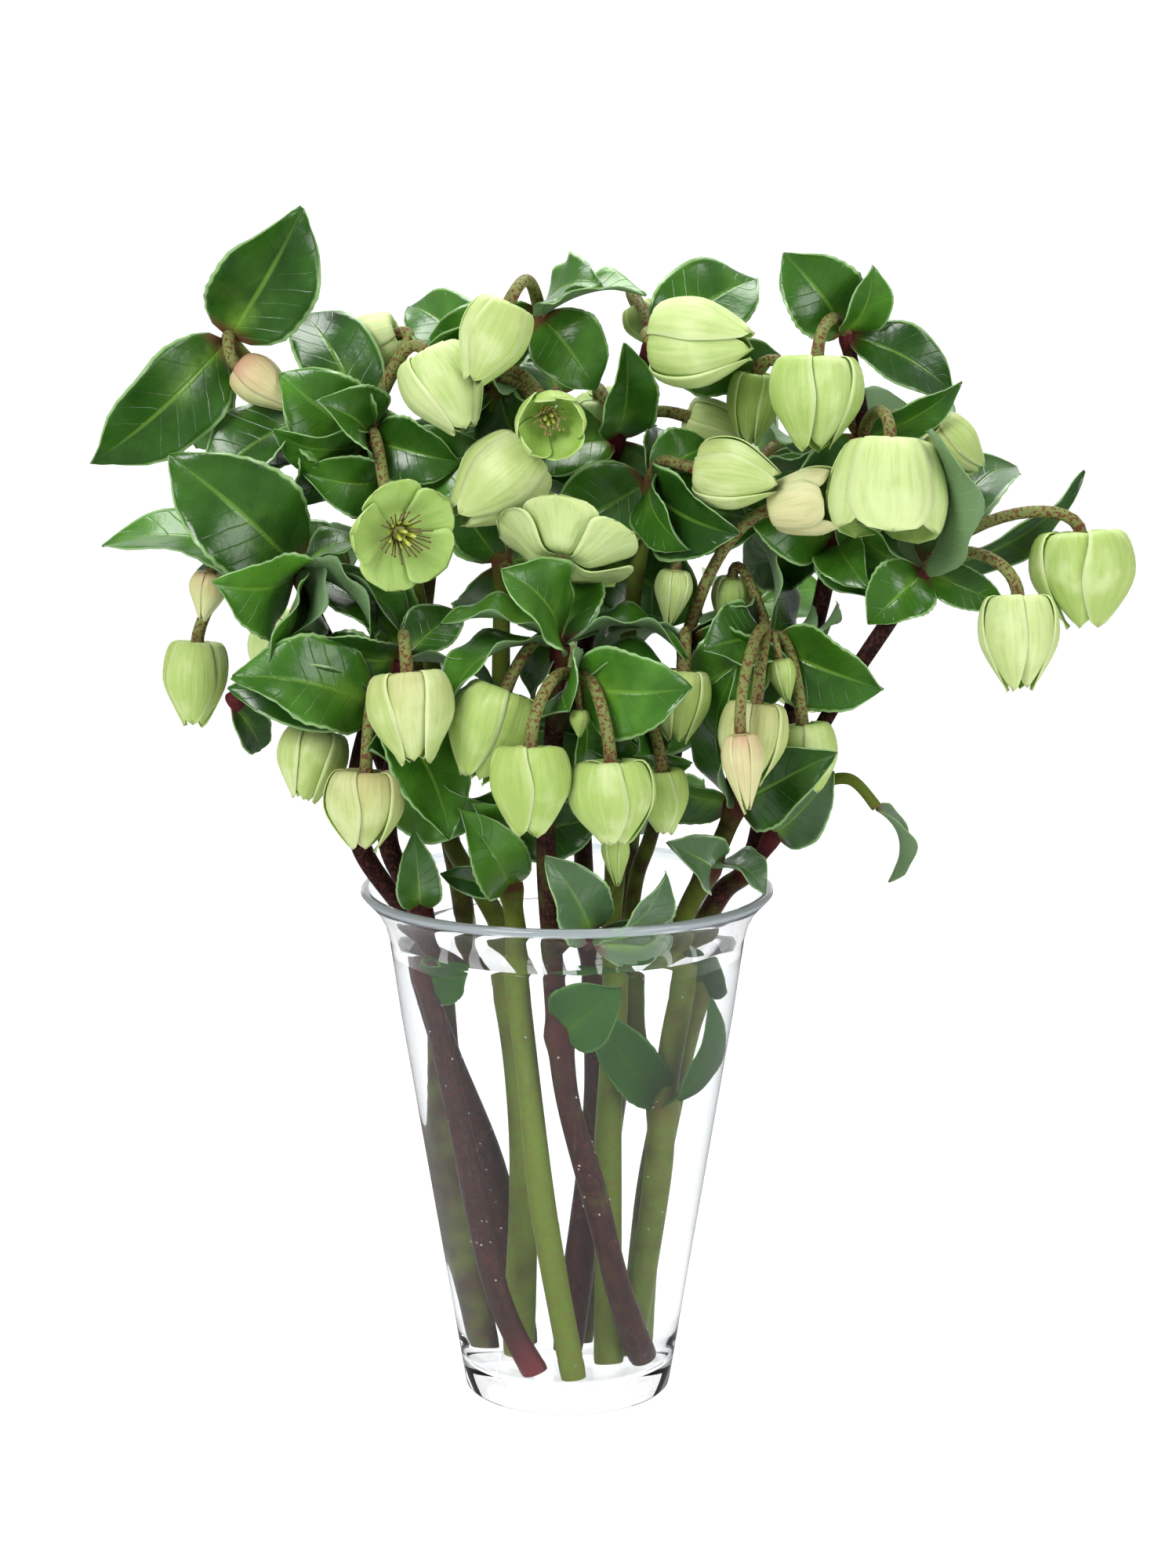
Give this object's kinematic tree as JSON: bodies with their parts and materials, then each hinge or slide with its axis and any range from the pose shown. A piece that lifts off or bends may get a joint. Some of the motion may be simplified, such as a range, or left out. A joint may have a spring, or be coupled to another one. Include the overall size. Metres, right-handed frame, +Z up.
{
  "type": "hellebore flower bunch in a glass vase",
  "caption": "Cut hellebore stems with leaves and nodding pale green blooms, standing in a clear flared glass vase of water.",
  "frame": {"origin": "centre of the flat underside of the vase", "axes": "+Z up through the vase, -Y towards the viewer in front, +X to the viewer's right"},
  "size_m": [0.3856, 0.225, 0.4551],
  "materials": {
    "glass": "clear polished",
    "water": "clear, smooth",
    "leafy_stem": "satin green leaf and stem",
    "sepal": "soft satin petal"
  },
  "bodies": {
    "root": {"vase": "glass", "water": "water", "dark_left_stem": "leafy_stem", "red_end_stem": "leafy_stem", "green_stem": "leafy_stem", "thin_green_stem": "leafy_stem", "brown_stem": "leafy_stem", "green_between_stem": "leafy_stem", "dark_behind_stem": "leafy_stem", "right_green_stem": "leafy_stem", "right_leaning_stem": "leafy_stem", "back_left_stem": "leafy_stem", "back_right_stem": "leafy_stem", "bloom_01": "sepal", "bloom_02": "sepal", "bloom_03": "sepal", "bloom_04": "sepal", "bloom_05": "sepal", "bloom_06": "sepal", "bloom_07": "sepal", "bloom_08": "sepal", "bloom_09": "sepal", "bloom_10": "sepal", "bloom_11": "sepal", "bloom_12": "sepal", "bloom_13": "sepal", "bloom_14": "sepal", "bloom_15": "sepal", "bloom_16": "sepal", "bloom_17": "sepal", "bloom_18": "sepal", "bloom_19": "sepal", "bloom_20": "sepal", "bloom_21": "sepal", "bloom_22": "sepal", "bloom_23": "sepal", "bloom_24": "sepal", "bloom_25": "sepal", "bloom_26": "sepal", "bloom_27": "sepal", "bloom_28": "sepal", "bloom_29": "sepal", "bloom_30": "sepal", "bloom_31": "sepal", "bloom_32": "sepal", "bloom_33": "sepal", "bloom_34": "sepal", "bloom_35": "sepal", "bloom_36": "sepal", "bloom_37": "sepal", "bloom_38": "sepal", "bloom_39": "sepal", "bloom_40": "sepal", "bloom_41": "sepal", "bloom_42": "sepal", "bloom_43": "sepal", "bloom_44": "sepal", "bloom_45": "sepal", "bloom_46": "sepal", "bloom_47": "sepal"}
  },
  "joints": []
}
